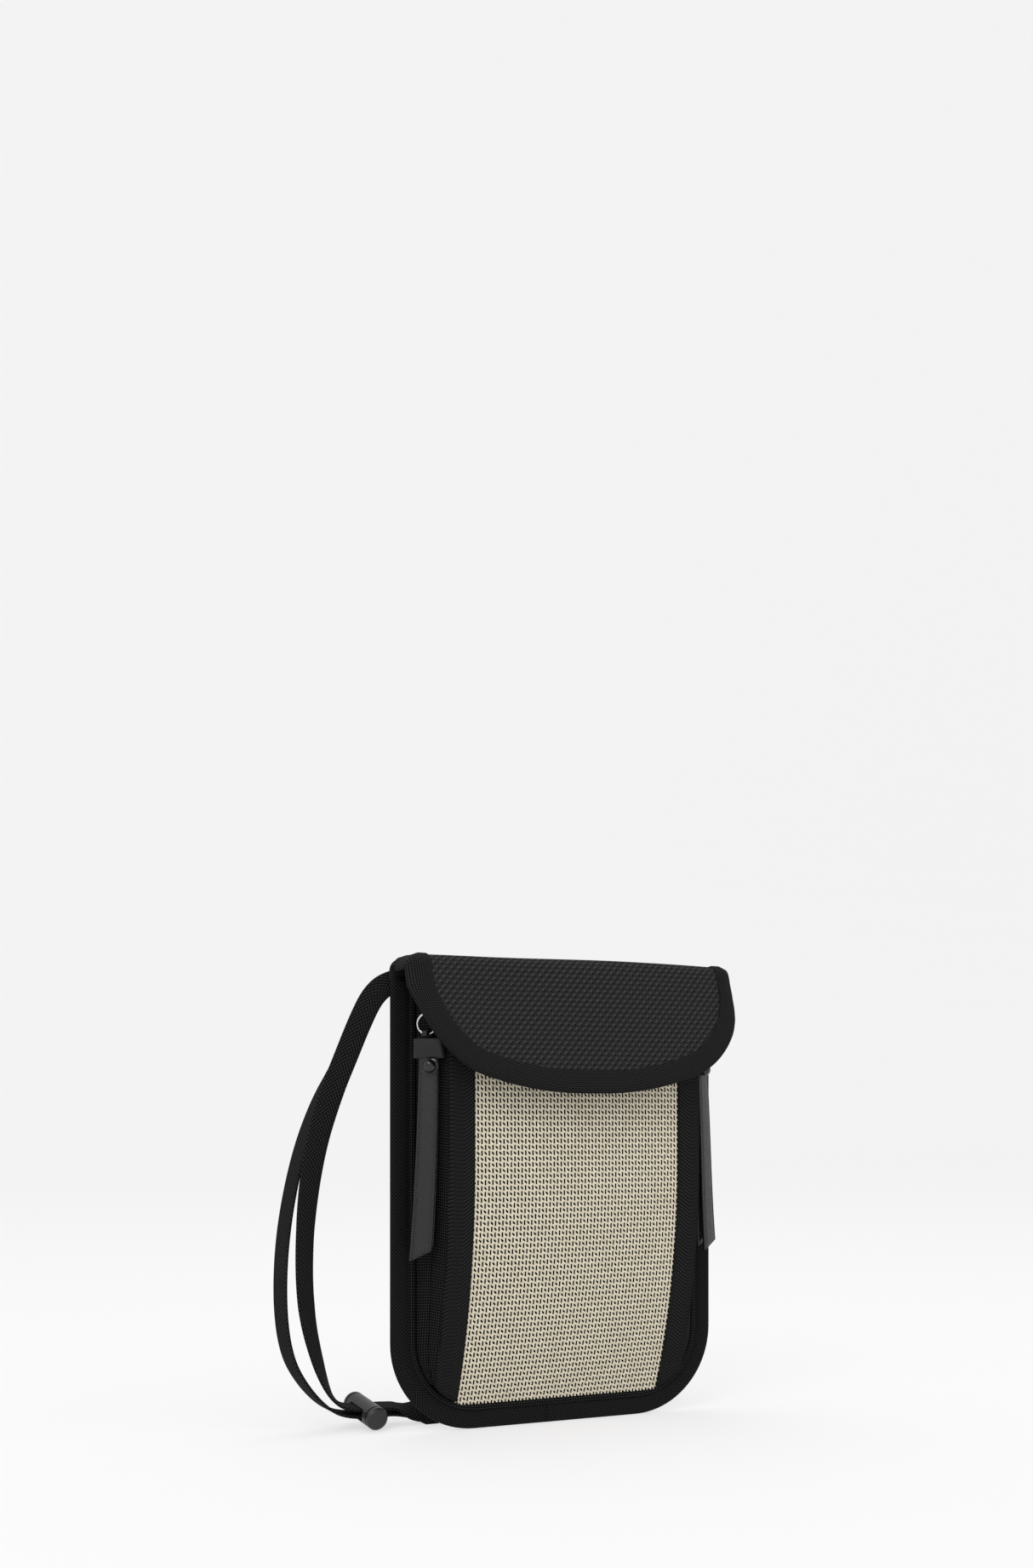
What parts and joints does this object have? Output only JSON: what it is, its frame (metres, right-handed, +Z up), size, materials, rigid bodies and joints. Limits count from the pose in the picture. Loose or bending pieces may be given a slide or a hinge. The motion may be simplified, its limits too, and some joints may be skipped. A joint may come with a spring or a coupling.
{
  "type": "neck pouch wallet",
  "caption": "Neck pouch wallet with bound edges, woven front panel, hinged fabric flap, two gusset zippers with leather pulls, and a flat neck strap through a barrel slider.",
  "frame": {"origin": "floor point midway between the pouch's front and back, on its centre line, the neck strap left out", "axes": "+Z up, -Y out of the front, +X to the right as seen from the front"},
  "size_m": [0.1954, 0.0962, 0.2],
  "materials": {
    "binding_tape": "herringbone twill",
    "body_fabric": "fine weave",
    "lining": "plain weave",
    "woven_straw": "open basket weave",
    "front_tape": "herringbone twill",
    "zip_tape": "woven",
    "zip_coil": "satin",
    "flap_fabric": "dobby weave",
    "strap_webbing": "herringbone webbing",
    "slider_metal": "satin",
    "chrome": "polished",
    "leather": "fine grain",
    "stud_gloss": "glossy",
    "toggle_metal": "satin gunmetal",
    "magnet_cover": "matte"
  },
  "bodies": {
    "pouch": {"back_lining": "lining", "back_panel": "body_fabric", "card_pocket": "lining", "divider_panel": "lining", "edge_binding": "binding_tape", "front_lining": "lining", "front_mesh_panel": "woven_straw", "front_tape_left": "front_tape", "front_tape_right": "front_tape", "front_top_binding": "binding_tape", "hank_tie": "strap_webbing", "magnet_keeper": "magnet_cover", "seam_strip": "body_fabric", "strap_anchor_left": "strap_webbing", "strap_anchor_right": "strap_webbing", "strap_front": "strap_webbing", "strap_hank": "strap_webbing", "strap_link_lower": "strap_webbing", "strap_link_upper": "strap_webbing", "strap_pass_lower": "strap_webbing", "strap_pass_upper": "strap_webbing", "strap_rear": "strap_webbing", "zip_bottom_stop_left": "zip_tape", "zip_bottom_stop_right": "zip_tape", "zip_coil_inner_left": "zip_coil", "zip_coil_inner_right": "zip_coil", "zip_coil_outer_left": "zip_coil", "zip_coil_outer_right": "zip_coil", "zip_tape_inner_left": "zip_tape", "zip_tape_inner_right": "zip_tape", "zip_tape_outer_left": "zip_tape", "zip_tape_outer_right": "zip_tape"},
    "flap": {"flap_panel": "flap_fabric", "flap_lining": "lining", "flap_binding": "binding_tape", "flap_magnet": "magnet_cover"},
    "zip_slider_left": {"slider_body_left": "slider_metal", "slider_bail_left": "slider_metal"},
    "pull_left": {"pull_link_left": "chrome", "pull_ring_left": "chrome"},
    "leather_left": {"pull_loop_left": "leather", "pull_collar_left": "leather", "pull_stud_left": "stud_gloss", "pull_leather_front_left": "leather", "pull_leather_back_left": "leather"},
    "zip_slider_right": {"slider_body_right": "slider_metal", "slider_bail_right": "slider_metal"},
    "pull_right": {"pull_link_right": "chrome", "pull_ring_right": "chrome"},
    "leather_right": {"pull_loop_right": "leather", "pull_collar_right": "leather", "pull_stud_right": "stud_gloss", "pull_leather_front_right": "leather", "pull_leather_back_right": "leather"},
    "strap_slider": {"toggle_barrel": "toggle_metal", "toggle_cap_near": "toggle_metal", "toggle_cap_far": "toggle_metal"}
  },
  "joints": [
    {"name": "flap_hinge", "type": "hinge", "parent": "pouch", "child": "flap", "pos_m": [0, 0.0203, 0.1906], "axis": [-1, 0, 0], "range_deg": [0, 115]},
    {"name": "zip_left", "type": "slide", "parent": "pouch", "child": "zip_slider_left", "axis": [0, 0.0045, -1], "range_m": [0, 0.09]},
    {"name": "pull_swing_left", "type": "hinge", "parent": "zip_slider_left", "child": "pull_left", "pos_m": [-0.06531, 0.00392, 0.18245], "axis": [-0.3484, 0.9373, 0], "range_deg": [0, 60]},
    {"name": "leather_swing_left", "type": "hinge", "parent": "pull_left", "child": "leather_left", "pos_m": [-0.06531, 0.00392, 0.1664], "axis": [-0.3484, 0.9373, 0], "range_deg": [0, 60]},
    {"name": "zip_right", "type": "slide", "parent": "pouch", "child": "zip_slider_right", "axis": [0, 0.0045, -1], "range_m": [0, 0.09]},
    {"name": "pull_swing_right", "type": "hinge", "parent": "zip_slider_right", "child": "pull_right", "pos_m": [0.06531, 0.00392, 0.18245], "axis": [-0.3484, -0.9373, 0], "range_deg": [0, 60]},
    {"name": "leather_swing_right", "type": "hinge", "parent": "pull_right", "child": "leather_right", "pos_m": [0.06531, 0.00392, 0.1664], "axis": [-0.3484, -0.9373, 0], "range_deg": [0, 60]},
    {"name": "strap_slide", "type": "slide", "parent": "pouch", "child": "strap_slider", "axis": [0.9945, 0.1045, 0], "range_m": [0, 0.0065]}
  ]
}
